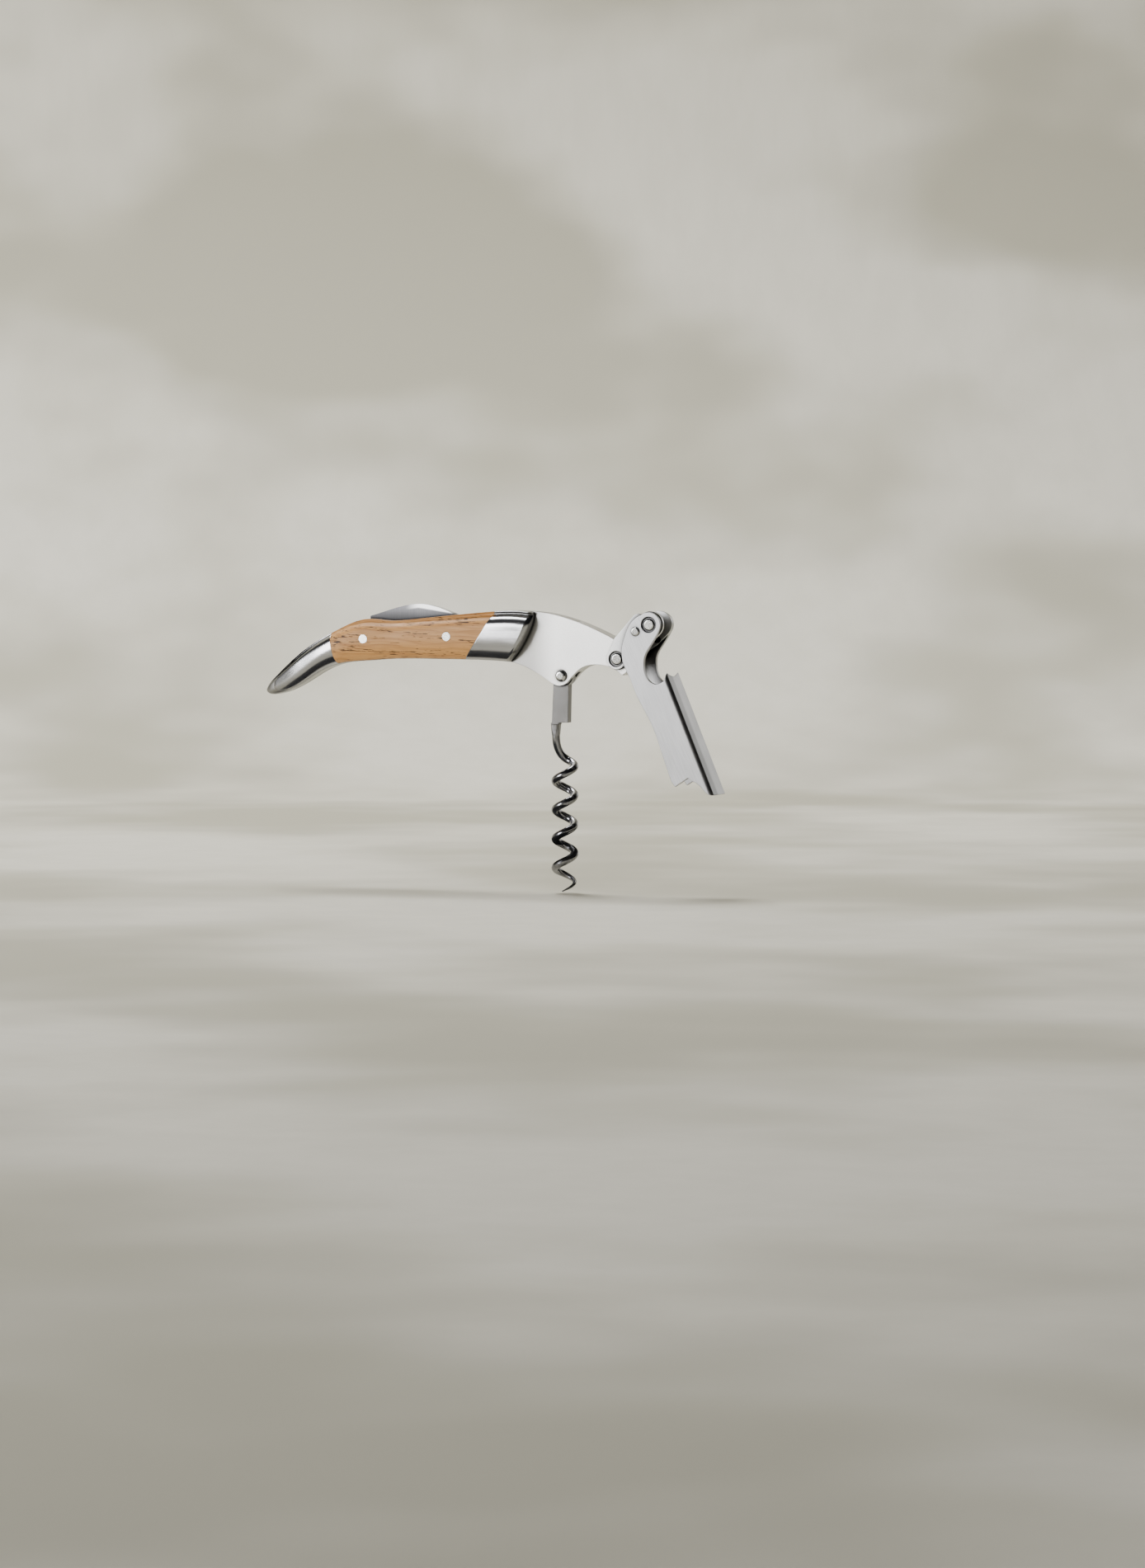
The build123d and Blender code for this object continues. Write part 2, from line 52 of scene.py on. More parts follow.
# Node kinds that are used often. RANGE takes a value, its range from low to high, and the new range.
MATH = "ShaderNodeMath"
RANGE = "ShaderNodeMapRange"
MIX = "ShaderNodeMix"
SPLIT = "ShaderNodeSeparateXYZ"
SMOOTH = {"interpolation_type": "SMOOTHSTEP"}
COLOUR = {"data_type": "RGBA"}


def srgb(code: str) -> tuple[float, float, float, float]:
    """Turns a colour written as sRGB hex into the linear value that shaders take.

    Args:
        code: Six hex digits, such as "C9A46B".

    Returns:
        Linear red, green, blue and an alpha of one.
    """
    parts = [int(code[i:i + 2], 16) / 255 for i in (0, 2, 4)]
    linear = [c / 12.92 if c <= 0.04045 else ((c + 0.055) / 1.055) ** 2.4 for c in parts]
    return (linear[0], linear[1], linear[2], 1.0)


# --------------------------------------------------------------------------------------
# Shader building
# --------------------------------------------------------------------------------------


class Sheet:
    """A node tree with one short way to add a node, its settings and its links."""

    def __init__(self, tree: bpy.types.NodeTree) -> None:
        """Takes over a tree and empties it."""
        self.tree = tree
        tree.nodes.clear()

    def add(self, kind: str, inputs: dict | tuple = (), **settings: object) -> Socket | None:
        """Adds a node, sets its properties, then fills its inputs.

        Args:
            kind: Blender's node type.
            inputs: Constants, or output sockets to link, in the order of the node's inputs, or a
                dict of them by socket name or index.
            settings: Properties of the node.

        Returns:
            The node's first output that is in use, or None where it has none.
        """
        node = self.tree.nodes.new(kind)
        for name, value in settings.items():
            setattr(node, name, value)
        for key, value in inputs.items() if isinstance(inputs, dict) else enumerate(inputs):
            if isinstance(value, Socket):
                self.tree.links.new(value, node.inputs[key])
            else:
                node.inputs[key].default_value = value
        return next((output for output in node.outputs if output.enabled), None)

    def grain(self, vector: Socket, size: Triple, detail: float = 3.0, roughness: float = 0.55) -> Socket:
        """Adds noise whose features are this many millimetres long along each axis.

        Args:
            vector: Coordinates in metres.
            size: Feature size along each axis, millimetres.
            detail: Octaves of the noise.
            roughness: Weight of the finer octaves.

        Returns:
            The noise value, from 0 to 1.
        """
        scale = tuple(1 / (MM * s) for s in size)
        mapped = self.add("ShaderNodeMapping", {"Vector": vector, "Scale": scale}, vector_type="POINT")
        noise = {"Vector": mapped, "Scale": 1.0, "Detail": detail, "Roughness": roughness}
        return self.add("ShaderNodeTexNoise", noise)


class Turned(Enum):
    """Frame that a finish's pattern lies in."""

    TOOL = 0.0
    LEVER = LEVER_ANGLE


@dataclass(frozen=True)
class Finish:
    """What a surface is made of and how it was worked.

    Attributes:
        name: Material name.
    """

    name: str

    def surface(self, sheet: Sheet, place: Socket) -> Socket:
        """Lays out the nodes of the finish.

        Args:
            sheet: The material's empty tree.
            place: Object coordinates, metres.

        Returns:
            The shader.
        """
        raise NotImplementedError

    def build(self) -> bpy.types.Material:
        """Makes the material.

        Returns:
            The new Blender material.
        """
        material = bpy.data.materials.new(self.name)
        material.use_nodes = True
        sheet = Sheet(material.node_tree)
        place = sheet.add("ShaderNodeTexCoord").node.outputs["Object"]
        sheet.add("ShaderNodeOutputMaterial", {"Surface": self.surface(sheet, place)})
        return material


@dataclass(frozen=True)
class SteelFinish(Finish):
    """A steel surface: colour, gloss and the marks its grinding has left, with painted shade where
    neighbouring parts close in.

    Attributes:
        colour: Base colour, sRGB hex.
        deep: Colour in the marks, sRGB hex.
        roughness: Mean roughness.
        spread: How far the roughness wanders.
        marks: Feature size of the marks, millimetres.
        depth: Height of the marks, millimetres.
        turned: Frame that the marks run in.
        edge: Radius of the broken edges, millimetres.
        reach: How far the painted shade of neighbouring parts reaches, millimetres.
        closed: Share of open sky at which the painted shade is at its darkest.
        corner: Colour of the painted shade in a closed corner, sRGB hex.
        cloud: Feature size of the slow change in gloss, millimetres.
    """

    colour: str
    deep: str
    roughness: float
    spread: float
    marks: Triple
    depth: float = 0.002
    turned: Turned = Turned.TOOL
    edge: float = 0.12
    reach: float = 1.2
    closed: float = 0.45
    corner: str = "0C0C0E"
    cloud: float = 9.0

    def paint_tone_and_light(self, sheet: Sheet, place: Socket, colour: Socket) -> Socket:
        """Paints changes of colour, painted shade and painted highlights across the piece, which plain
        steel leaves as it is.

        Args:
            sheet: The material's tree.
            place: Object coordinates, metres.
            colour: The colour so far.

        Returns:
            The shaded colour.
        """
        return colour

    def relief(self, sheet: Sheet, place: Socket, normal: Socket) -> Socket:
        """Rounds the surface further, which plain steel doesn't need.

        Args:
            sheet: The material's tree.
            place: Object coordinates, metres.
            normal: The normal so far.

        Returns:
            The rounded normal.
        """
        return normal

    def surface(self, sheet: Sheet, place: Socket) -> Socket:
        """Lays out the steel's marks, colour, gloss and broken edges, and paints shade into its corners.

        Args:
            sheet: The material's empty tree.
            place: Object coordinates, metres.

        Returns:
            The shader.
        """
        turn = sheet.add(
            "ShaderNodeMapping", {"Vector": place, "Rotation": (0.0, self.turned.value, 0.0)},
            vector_type="POINT")
        fine = sheet.grain(turn, self.marks)
        broad = sheet.grain(turn, (self.cloud, self.cloud, self.cloud), 2.0)
        tone = sheet.add(RANGE, (fine, 0.35, 0.65), **SMOOTH)
        shade = sheet.add(MIX, {0: tone, 6: srgb(self.deep), 7: srgb(self.colour)}, **COLOUR)
        shade = self.paint_tone_and_light(sheet, place, shade)
        # Painted shade: where neighbouring parts shut out the sky, the colour is painted towards the dark
        # corner colour.
        sky = sheet.add("ShaderNodeAmbientOcclusion", {"Distance": self.reach * MM}, samples=8)
        opened = sheet.add(RANGE, (sky.node.outputs["AO"], self.closed, 1.0), **SMOOTH)
        shade = sheet.add(MIX, {0: opened, 6: srgb(self.corner), 7: shade}, **COLOUR)
        wander = sheet.add(MATH, (fine, 0.5), operation="SUBTRACT")
        rough = sheet.add(MATH, (wander, self.spread, self.roughness), operation="MULTIPLY_ADD")
        drift = sheet.add(RANGE, (broad, 0.3, 0.7, -0.02, 0.03), **SMOOTH)
        rough = sheet.add(MATH, (rough, drift), operation="ADD", use_clamp=True)
        worn = sheet.add("ShaderNodeBevel", {"Radius": self.edge * MM}, samples=6)
        bump = sheet.add("ShaderNodeBump", {
            "Strength": 1.0, "Distance": self.depth * MM, "Height": fine, "Normal": worn})
        return sheet.add("ShaderNodeBsdfPrincipled", {
            "Base Color": shade, "Metallic": 1.0, "Roughness": rough,
            "Normal": self.relief(sheet, place, bump)})


@dataclass(frozen=True)
class NeckFinish(SteelFinish):
    """Bead-blasted steel with a soft painted shadow beside the bolster.

    Attributes:
        shadow: Colour of the painted shadow, sRGB hex.
        fade: Where along the tool the painted shadow starts and ends, millimetres.
        strength: Share of the shadow colour beside the bolster.
    """

    shadow: str = "7A7976"
    fade: tuple[float, float] = (-12.0, -1.0)
    strength: float = 0.75

    def paint_tone_and_light(self, sheet: Sheet, place: Socket, colour: Socket) -> Socket:
        """Paints shadow on the neck towards the bolster.

        Args:
            sheet: The material's tree.
            place: Object coordinates, metres.
            colour: The colour so far.

        Returns:
            The shaded colour.
        """
        # Painted shadow: the neck is painted darker towards the bolster's end.
        along = sheet.add(SPLIT, (place,)).node.outputs["X"]
        start, end = self.fade
        share = sheet.add(RANGE, (along, start * MM, end * MM, self.strength, 0.0), **SMOOTH)
        return sheet.add(MIX, {0: share, 6: colour, 7: srgb(self.shadow)}, **COLOUR)


@dataclass(frozen=True)
class BolsterFinish(SteelFinish):
    """Polished steel that rolls over where the front bolster ends at the neck.

    Attributes:
        roll: Width of the rolled edge, millimetres.
        steep: Twice this is the slope at the very edge.
        rim: Where the edge crosses the tool's upper line, millimetres along and up.
        lean: Slope of the edge there.
        bow: How quickly the edge leans further below, per millimetre.
    """

    roll: float = 2.0
    steep: float = 0.75
    rim: tuple[float, float] = (-9.4, 87.9)
    lean: float = 0.25
    bow: float = 0.024

    def relief(self, sheet: Sheet, place: Socket, normal: Socket) -> Socket:
        """Rolls the front edge over, along a bowed line.

        Args:
            sheet: The material's tree.
            place: Object coordinates, metres.
            normal: The normal so far.

        Returns:
            The rounded normal.
        """
        parts = sheet.add(SPLIT, (place,)).node.outputs
        drop = sheet.add(MATH, (self.rim[1] * MM, parts["Z"]), operation="SUBTRACT")
        squared = sheet.add(MATH, (drop, 2.0), operation="POWER")
        curve = sheet.add(MATH, (squared, self.bow / MM), operation="MULTIPLY")
        slant = sheet.add(MATH, (drop, self.lean), operation="MULTIPLY")
        edge = sheet.add(MATH, (self.rim[0] * MM, slant), operation="SUBTRACT")
        edge = sheet.add(MATH, (edge, curve), operation="SUBTRACT")
        inset = sheet.add(MATH, (edge, parts["X"]), operation="SUBTRACT")
        left = sheet.add(MATH, (self.roll * MM, inset), operation="SUBTRACT")
        left = sheet.add(MATH, (left, 0.0), operation="MAXIMUM")
        squared = sheet.add(MATH, (left, 2.0), operation="POWER")
        fall = sheet.add(MATH, (squared, -self.steep / (self.roll * MM)), operation="MULTIPLY")
        return sheet.add("ShaderNodeBump", {
            "Strength": 1.0, "Distance": 1.0, "Height": fall, "Normal": normal})


@dataclass(frozen=True)
class BladeFinish(SteelFinish):
    """Blade steel with painted shade towards the wood and a painted highlight along the spine.

    Attributes:
        shadow: Colour of the painted shade close to the wood, sRGB hex.
        shadow_share: Share of the shadow at its lower end.
        shadow_up: Heights where the shadow starts and ends, millimetres.
        spine_highlight: Colour of the painted highlight along the spine, sRGB hex.
        crest: Top of the spine, millimetres along and up.
        fall: Slope of the spine to either side of its top.
        band: How far under the spine the painted highlight fades in, millimetres.
        clear: Where along the tool the painted highlight fades in, millimetres.
    """

    shadow: str = "2C2C2D"
    shadow_share: float = 0.8
    shadow_up: tuple[float, float] = (88.2, 92.4)
    spine_highlight: str = "E6E6E6"
    crest: tuple[float, float] = (-51.0, 92.9)
    fall: float = 0.145
    band: tuple[float, float] = (-1.5, -0.9)
    clear: tuple[float, float] = (-56.0, -50.0)

    def paint_tone_and_light(self, sheet: Sheet, place: Socket, colour: Socket) -> Socket:
        """Paints shade on the blade towards the wood and a highlight along its spine.

        Args:
            sheet: The material's tree.
            place: Object coordinates, metres.
            colour: The colour so far.

        Returns:
            The shaded colour.
        """
        parts = sheet.add(SPLIT, (place,)).node.outputs
        up, along = parts["Z"], parts["X"]
        bottom, top = self.shadow_up
        # Painted shade: the blade is painted darker towards the wood.
        low = sheet.add(RANGE, (up, bottom * MM, top * MM, self.shadow_share, 0.0), **SMOOTH)
        shaded = sheet.add(MIX, {0: low, 6: colour, 7: srgb(self.shadow)}, **COLOUR)
        # Painted highlight: a pale line is painted just under the spine's top.
        away = sheet.add(MATH, (along, -self.crest[0] * MM), operation="ADD")
        away = sheet.add(MATH, (away,), operation="ABSOLUTE")
        spine = sheet.add(MATH, (away, -self.fall, self.crest[1] * MM), operation="MULTIPLY_ADD")
        under = sheet.add(MATH, (up, spine), operation="SUBTRACT")
        band = sheet.add(RANGE, (under, self.band[0] * MM, self.band[1] * MM), **SMOOTH)
        right = sheet.add(RANGE, (along, self.clear[0] * MM, self.clear[1] * MM), **SMOOTH)
        share = sheet.add(MATH, (band, right), operation="MULTIPLY")
        return sheet.add(MIX, {0: share, 6: shaded, 7: srgb(self.spine_highlight)}, **COLOUR)


@dataclass(frozen=True)
class LeverFinish(SteelFinish):
    """Brushed lever steel with fine drawn lines along the bends of its back, and painted shade along its
    near bend.

    Attributes:
        groove: Colour in the drawn lines, also used for the painted shade along the near bend, sRGB hex.
        spacing: Distance between the lines, millimetres.
        line_share: Share of the groove colour in a line.
        back: Half width of the back, where the lines end, millimetres.
        fade: Width over which they end, millimetres.
        bend: Where across the back the painted shade along the near bend starts and ends, millimetres.
        bend_shade_share: Share of the groove colour in that painted shade at those two places.
    """

    groove: str = "4C4C4F"
    spacing: float = 0.62
    line_share: float = 0.22
    back: float = 5.0
    fade: float = 0.5
    bend: tuple[float, float] = (-2.2, -0.4)
    bend_shade_share: tuple[float, float] = (0.62, 0.12)

    def paint_tone_and_light(self, sheet: Sheet, place: Socket, colour: Socket) -> Socket:
        """Draws the lines along the back and paints shade along its near bend.

        Args:
            sheet: The material's tree.
            place: Object coordinates, metres.
            colour: The colour so far.

        Returns:
            The shaded colour.
        """
        across = sheet.add(SPLIT, (place,)).node.outputs["Y"]
        wave = sheet.add(MATH, (across, 2 * math.pi / (self.spacing * MM)), operation="MULTIPLY")
        lines = sheet.add(MATH, (wave,), operation="SINE")
        dark = sheet.add(RANGE, (lines, 0.0, 1.0, 0.0, self.line_share), **SMOOTH)
        # Painted shade: the near bend of the back is painted darker.
        bend = sheet.add(
            RANGE, (across, self.bend[0] * MM, self.bend[1] * MM, *self.bend_shade_share), **SMOOTH)
        dark = sheet.add(MATH, (dark, bend), operation="ADD")
        depth = sheet.add(MATH, (across,), operation="ABSOLUTE")
        past = sheet.add(MATH, (depth, self.back * MM), operation="SUBTRACT")
        outside = sheet.add(RANGE, (past, 0.0, self.fade * MM), **SMOOTH)
        inside = sheet.add(MATH, (1.0, outside), operation="SUBTRACT")
        dark = sheet.add(MATH, (dark, inside), operation="MULTIPLY")
        return sheet.add(MIX, {0: dark, 6: colour, 7: srgb(self.groove)}, **COLOUR)


@dataclass(frozen=True)
class WireFinish(SteelFinish):
    """Dark polished wire with a satin shank above it.

    Attributes:
        satin: Colour of the shank, sRGB hex.
        change: Heights between which the wire's colour gives way to the shank's, millimetres.
    """

    satin: str = "747373"
    change: tuple[float, float] = (51.5, 54.5)

    def paint_tone_and_light(self, sheet: Sheet, place: Socket, colour: Socket) -> Socket:
        """Lightens the worm above its wire.

        Args:
            sheet: The material's tree.
            place: Object coordinates, metres.
            colour: The colour so far.

        Returns:
            The shaded colour.
        """
        up = sheet.add(SPLIT, (place,)).node.outputs["Z"]
        share = sheet.add(RANGE, (up, self.change[0] * MM, self.change[1] * MM), **SMOOTH)
        return sheet.add(MIX, {0: share, 6: colour, 7: srgb(self.satin)}, **COLOUR)


@dataclass(frozen=True)
class OakFinish(Finish):
    """Oiled light oak: growth rings along the handle, silky grain and dark open pores.

    Attributes:
        pale: Early wood, sRGB hex.
        tan: Late wood, sRGB hex.
        gold: Lighter streaks, sRGB hex.
        pore: Pore colour, sRGB hex.
        ring_width: Width of a growth ring, millimetres.
        ring_wander: How many rings the grain wanders by.
        tilt: Angle of the grain to the tool, degrees.
        edge: Radius of the worn edges, millimetres.
        pore_depth: Depth of the pores, millimetres.
    """

    pale: str = "C99559"
    tan: str = "9B6534"
    gold: str = "D3A268"
    pore: str = "2A170B"
    ring_width: float = 2.3
    ring_wander: float = 3.4
    tilt: float = -2.5
    edge: float = 0.15
    pore_depth: float = 0.05

    def rings(self, sheet: Sheet, place: Socket, grain: Socket) -> Socket:
        """Finds the late wood at the end of each growth ring.

        Args:
            sheet: The material's tree.
            place: Object coordinates, metres.
            grain: The same, turned to lie along the grain.

        Returns:
            Share of late wood.
        """
        wander = sheet.grain(place, (26.0, 9.0, 9.0), 2.0)
        wander = sheet.add(MATH, (wander, self.ring_wander), operation="MULTIPLY")
        up = sheet.add(SPLIT, (grain,)).node.outputs["Z"]
        ring = sheet.add(MATH, (up, 1 / (self.ring_width * MM)), operation="MULTIPLY")
        ring = sheet.add(MATH, (ring, wander), operation="ADD")
        ring = sheet.add(MATH, (ring,), operation="FRACT")
        rise = sheet.add(RANGE, (ring, 0.45, 0.95), **SMOOTH)
        drop = sheet.add(RANGE, (ring, 1.0, 0.96), **SMOOTH)
        return sheet.add(MATH, (rise, drop), operation="MULTIPLY")

    def pores(self, sheet: Sheet, grain: Socket) -> Socket:
        """Finds the pores, which are short dashes that gather in zones.

        Args:
            sheet: The material's tree.
            grain: Object coordinates, turned to lie along the grain, metres.

        Returns:
            Share of pore.
        """
        dashes = sheet.grain(grain, (3.2, 0.42, 0.34), 2.0, 0.5)
        zone = sheet.grain(grain, (22.0, 2.2, 1.5), 2.0)
        cut = sheet.add(RANGE, (zone, 0.40, 0.62, 0.72, 0.53), **SMOOTH)
        above = sheet.add(MATH, (dashes, cut), operation="SUBTRACT")
        return sheet.add(RANGE, (above, 0.0, 0.045), **SMOOTH)

    def surface(self, sheet: Sheet, place: Socket) -> Socket:
        """Lays out the oak's rings, silk, streaks and pores.

        Args:
            sheet: The material's empty tree.
            place: Object coordinates, metres.

        Returns:
            The shader.
        """
        grain = sheet.add(
            "ShaderNodeMapping", {"Vector": place, "Rotation": (0.0, math.radians(self.tilt), 0.0)})
        late = sheet.add(MATH, (self.rings(sheet, place, grain), 0.38), operation="MULTIPLY")
        silk = sheet.grain(grain, (9.0, 0.35, 0.28), 4.0, 0.6)
        streak = sheet.grain(grain, (30.0, 1.6, 1.3), 3.0)
        pores = self.pores(sheet, grain)
        silk_share = sheet.add(RANGE, (silk, 0.38, 0.72, 0.0, 0.42), **SMOOTH)
        streak_share = sheet.add(RANGE, (streak, 0.5, 0.78, 0.0, 0.4), **SMOOTH)
        pore_share = sheet.add(MATH, (pores, 0.9), operation="MULTIPLY")
        wood = srgb(self.pale)
        for share, colour in (
            (late, self.tan), (silk_share, self.tan), (streak_share, self.gold), (pore_share, self.pore),
        ):
            wood = sheet.add(MIX, {0: share, 6: wood, 7: srgb(colour)}, **COLOUR)
        worn = sheet.add("ShaderNodeBevel", {"Radius": self.edge * MM}, samples=6)
        ridges = sheet.add(MATH, (silk, 0.4), operation="MULTIPLY")
        height = sheet.add(MATH, (ridges, pores), operation="SUBTRACT")
        bump = sheet.add("ShaderNodeBump", {
            "Strength": 0.8, "Distance": self.pore_depth * MM, "Height": height, "Normal": worn})
        rough = sheet.add(RANGE, (silk, 0.3, 0.7, 0.44, 0.58), **SMOOTH)
        return sheet.add("ShaderNodeBsdfPrincipled", {
            "Base Color": wood, "Roughness": rough, "Specular IOR Level": 0.4, "Normal": bump})


@dataclass(frozen=True)
class PlasterFinish(Finish):
    """Plain matt backdrop with a faint mottle.

    Attributes:
        light: Lighter tone, sRGB hex.
        dark: Darker tone, sRGB hex.
    """

    light: str
    dark: str

    def surface(self, sheet: Sheet, place: Socket) -> Socket:
        """Lays out the plaster's clouds and its finer mottle.

        Args:
            sheet: The material's empty tree.
            place: Object coordinates, metres.

        Returns:
            The shader.
        """
        cloud = sheet.grain(place, (240.0, 240.0, 150.0), 3.0)
        mottle = sheet.grain(place, (14.0, 14.0, 40.0), 4.0)
        cloud = sheet.add(RANGE, (cloud, 0.38, 0.62), **SMOOTH)
        mottle = sheet.add(RANGE, (mottle, 0.3, 0.7, 0.0, 0.12), **SMOOTH)
        shade = sheet.add(MIX, {0: cloud, 6: srgb(self.dark), 7: srgb(self.light)}, **COLOUR)
        shade = sheet.add(MIX, {0: mottle, 6: shade, 7: srgb(self.dark)}, **COLOUR)
        return sheet.add("ShaderNodeBsdfPrincipled", {"Base Color": shade, "Roughness": 0.9})


FINISHES = (
    # Stainless steel blasted with fine beads: a pale, even satin that looks the same from all sides.
    # The beads' pits are drawn coarser than they are, at 0.16 mm, so that they show.
    # Painted shadow darkens the neck beside the bolster, and painted shade fills its corners.
    NeckFinish(
        "blasted_steel", "DCDBDA", "CBCAC8", 0.36, 0.10, (0.16, 0.16, 0.16), 0.006, edge=0.25),
    # The same blasted steel, with painted shade that reaches deep inside the lever.
    SteelFinish(
        "link_steel", "C9C9C9", "BBBBBB", 0.34, 0.10, (0.16, 0.16, 0.16), 0.005, edge=0.25,
        reach=5.0, closed=0.55),
    # Rolled spring steel: a dull sheen with lines along the strip.
    SteelFinish("spring_steel", "BDBBB8", "A9A8A5", 0.34, 0.15, (3.0, 0.2, 0.2), 0.004),
    # Stainless steel polished on a wheel: it mirrors the room in light and dark bands.
    BolsterFinish(
        "polished_steel", "ABABAD", "9D9D9F", 0.19, 0.10, (6.0, 0.12, 0.12), 0.0012, edge=0.35),
    # Turned steel pins: small bright heads with a clean rim.
    SteelFinish("pin_steel", "C6C6C5", "B8B8B7", 0.17, 0.08, (0.5, 0.5, 0.5), 0.001, edge=0.1),
    # Hardened and polished wire: nearly black, with narrow bright highlights.
    WireFinish("worm_steel", "8C8C8F", "77777B", 0.20, 0.10, (0.5, 0.5, 1.6), 0.003, edge=0.15),
    # Folded stainless sheet, brushed lengthwise: a soft sheen along the lever.
    # The brush lines are drawn at 0.16 mm, coarser than they are, so that they show.
    # Painted shade lies along the near bend of its back and reaches deep between its cheeks.
    LeverFinish(
        "brushed_steel", "AEAEB0", "A2A2A4", 0.31, 0.10, (7.0, 0.16, 0.16), 0.002, Turned.LEVER,
        edge=0.3, reach=8.0, closed=0.6),
    # Blade steel ground across: a dark satin, with painted shade towards the wood and a painted highlight
    # along the spine.
    BladeFinish("blade_steel", "737376", "6A6A6E", 0.40, 0.05, (0.18, 0.18, 5.0), 0.002),
    # Oak, oiled: warm and half matt, with dark pores that run along the handle.
    OakFinish("oak"),
)


# --------------------------------------------------------------------------------------
# Sub-assemblies of CAD nodes
# --------------------------------------------------------------------------------------


@dataclass(frozen=True)
class SubAssembly:
    """CAD nodes that belong together, and the finish that each one takes.

    Attributes:
        name: What the group is called.
        finishes: CAD node name to finish name.
    """

    name: str
    finishes: dict[str, str]

    def dress(self, nodes: dict[str, bpy.types.Object], made: dict[str, bpy.types.Material]) -> None:
        """Gives every node of the group its finish.

        Args:
            nodes: CAD node name to object.
            made: Finish name to the material made for it.
        """
        for node, finish in self.finishes.items():
            slots = nodes[node].data.materials
            slots.clear()
            slots.append(made[finish])
            log.info("%s: %s in %s", self.name, node, finish)


SUB_ASSEMBLIES = (
    SubAssembly("frame", {
        "liner_near": "blasted_steel", "liner_far": "blasted_steel", "neck_spacer": "blasted_steel",
        "worm_spring": "spring_steel", "blade_spring": "spring_steel", "tail_spacer": "spring_steel",
    }),
    SubAssembly("grip", {
        "front_bolster_near": "polished_steel", "front_bolster_far": "polished_steel",
        "tail_bolster_near": "polished_steel", "tail_bolster_far": "polished_steel",
        "scale_near": "oak", "scale_far": "oak",
    }),
    SubAssembly("pins", {
        "scale_pin": "pin_steel", "blade_pivot_pin": "pin_steel", "bolster_dowels": "pin_steel",
        "tail_dowel": "pin_steel", "worm_rivet": "pin_steel", "link_rivet": "pin_steel",
        "lever_rivet": "pin_steel", "stop_pin": "pin_steel",
    }),
    SubAssembly("tools", {
        "worm": "worm_steel", "link": "link_steel", "lever": "brushed_steel", "blade": "blade_steel",
    }),
)


# --------------------------------------------------------------------------------------
# Worm wire
# --------------------------------------------------------------------------------------


